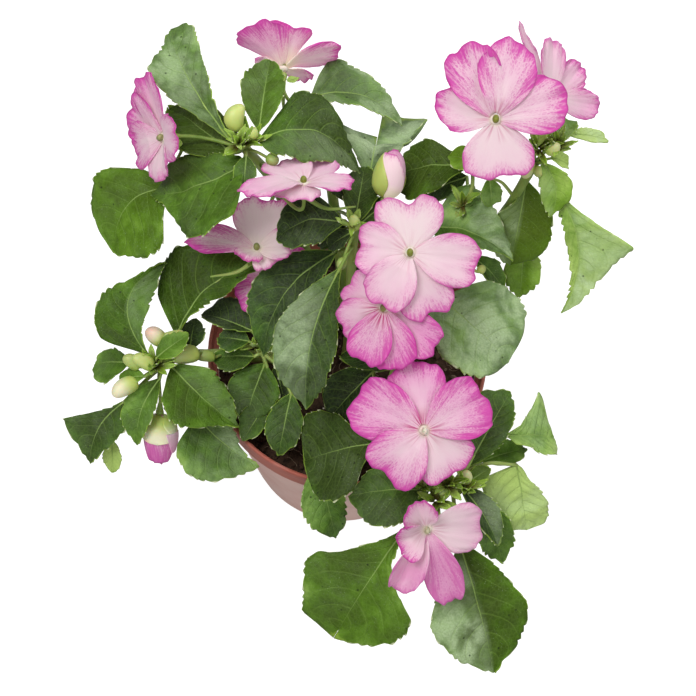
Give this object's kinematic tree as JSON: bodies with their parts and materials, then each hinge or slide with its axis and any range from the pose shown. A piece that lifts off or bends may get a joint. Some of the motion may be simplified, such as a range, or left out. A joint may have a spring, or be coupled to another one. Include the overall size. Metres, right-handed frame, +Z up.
{
  "type": "busy lizzie in a pot",
  "caption": "Flowering busy lizzie with spreading leafy stems and flat five-petalled pink and white blooms, growing in potting soil in a round tapered nursery pot.",
  "frame": {"origin": "centre of the pot's flat base, on the surface it stands on", "axes": "+Z up along the pot's axis; -Y towards the side where the blooms hang over the rim; +X to that side's right"},
  "size_m": [0.1995, 0.2114, 0.2151],
  "materials": {
    "pot_plastic": "terracotta-coloured nursery plastic, paler and dustier on the wall than on the rim",
    "potting_soil": "dark damp peat with fibres",
    "leaf": "soft satin green with a bright margin and pale veins",
    "petal": "silky, nearly white at the heart and magenta-mottled towards the margin"
  },
  "bodies": {
    "root": {"pot": "pot_plastic", "soil": "potting_soil", "stem_back_left": "leaf", "stem_back": "leaf", "stem_back_right": "leaf", "stem_right": "leaf", "stem_middle": "leaf", "stem_inner_left": "leaf", "stem_left": "leaf", "stem_front": "leaf", "stem_front_right": "leaf", "bloom_far_left": "petal", "bloom_left_upper": "petal", "bloom_left_lower": "petal", "bloom_back": "petal", "bloom_right_front": "petal", "bloom_right_back": "petal", "bloom_centre_upper": "petal", "bloom_centre_lower": "petal", "bloom_hidden": "petal", "bloom_front": "petal", "bloom_low": "petal", "bud_egg": "petal", "bud_opening": "petal"}
  },
  "joints": []
}
